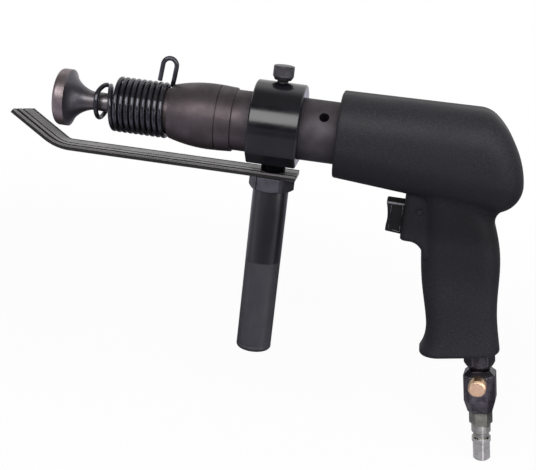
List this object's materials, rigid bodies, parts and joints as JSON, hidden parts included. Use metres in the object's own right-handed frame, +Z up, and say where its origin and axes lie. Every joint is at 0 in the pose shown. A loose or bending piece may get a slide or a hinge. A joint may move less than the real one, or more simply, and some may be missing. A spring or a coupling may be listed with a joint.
{
  "type": "pneumatic seaming hammer",
  "caption": "Pistol-grip air hammer with a flared seaming die, wound retainer spring, clamped guide bar and side handle, sliding trigger, flow regulator and coupler plug.",
  "frame": {"origin": "centre of the die's working face with the die pushed home", "axes": "+X along the barrel from the die to the pistol handle, +Z up, the regulator screw on the -Y side"},
  "size_m": [0.3659, 0.0602, 0.2636],
  "materials": {
    "dark_steel": "dark phosphated steel, satin",
    "textured_black": "cast aluminium with fine wrinkle-textured black paint",
    "gloss_black": "black anodised aluminium, glossy",
    "knurled_black": "black anodised aluminium, satin, knurled lower half",
    "black_oxide": "black oxide on steel",
    "bar_black": "black paint over drawn steel bar",
    "spring_wire": "oil-tempered black spring wire",
    "bright_steel": "ground steel",
    "black_plastic": "black moulded trigger",
    "gunmetal": "grey plated die casting",
    "brass_screw": "worn copper-coloured brass",
    "nickel": "nickel plate",
    "seal_rubber": "matt black rubber"
  },
  "bodies": {
    "tool": {"handle_body": "textured_black", "barrel": "dark_steel", "barrel_seal": "seal_rubber", "valve_case": "bright_steel", "valve_cap": "bright_steel", "valve_dowel": "bright_steel", "trigger_pin": "black_oxide", "throttle_bushing": "bright_steel", "throttle_seal": "seal_rubber", "throttle_spring": "bright_steel", "inlet_gasket": "seal_rubber", "inlet_bushing": "gunmetal", "inlet_screen": "bright_steel", "regulator_body": "gunmetal", "plug_washer": "nickel", "air_plug": "nickel"},
    "die": {"seaming_die": "dark_steel"},
    "hammer_piston": {"piston": "bright_steel"},
    "valve": {"valve_disc": "bright_steel"},
    "retainer": {"retainer_spring": "spring_wire"},
    "trigger_group": {"trigger": "black_plastic", "throttle_valve": "bright_steel"},
    "clamp": {"clamp_collar": "gloss_black", "handle_stud": "black_oxide", "lock_nut": "black_oxide", "side_handle": "knurled_black"},
    "clamp_screw": {"thumb_screw": "black_oxide"},
    "guide": {"guide_bar": "bar_black"},
    "regulator": {"regulator_screw": "brass_screw", "regulator_seal": "seal_rubber"}
  },
  "joints": [
    {"name": "hammer_slide", "type": "slide", "parent": "tool", "child": "die", "axis": [-1, 0, 0], "range_m": [0, 0.005]},
    {"name": "piston_stroke", "type": "slide", "parent": "tool", "child": "hammer_piston", "axis": [-1, 0, 0], "range_m": [0, 0.0965]},
    {"name": "valve_flutter", "type": "slide", "parent": "tool", "child": "valve", "axis": [-1, 0, 0], "range_m": [0, 0.001]},
    {"name": "retainer_turn", "type": "hinge", "parent": "tool", "child": "retainer", "pos_m": [0.0665, 0, 0], "axis": [1, 0, 0], "range_deg": [-120, 120]},
    {"name": "trigger_pull", "type": "slide", "parent": "tool", "child": "trigger_group", "axis": [1, 0, 0], "range_m": [0, 0.006], "stiffness_N_per_m": 1500, "springref_m": -0.004, "deforming": ["throttle_spring"]},
    {"name": "collar_turn", "type": "hinge", "parent": "tool", "child": "clamp", "pos_m": [0.155, 0, 0], "axis": [1, 0, 0], "range_deg": [-150, 150]},
    {"name": "thumb_screw_turn", "type": "hinge", "parent": "clamp", "child": "clamp_screw", "pos_m": [0.155, 0, 0.036], "axis": [0, 0, 1], "range_deg": [-180, 180]},
    {"name": "guide_bar_swivel", "type": "hinge", "parent": "clamp", "child": "guide", "pos_m": [0.155, 0, -0.0332], "axis": [0, 0, 1], "range_deg": [-120, 120]},
    {"name": "regulator_turn", "type": "hinge", "parent": "tool", "child": "regulator", "pos_m": [0.31876, 0, -0.16082], "axis": [-0.1538, -0.9877, -0.0285], "range_deg": [-180, 180]}
  ]
}
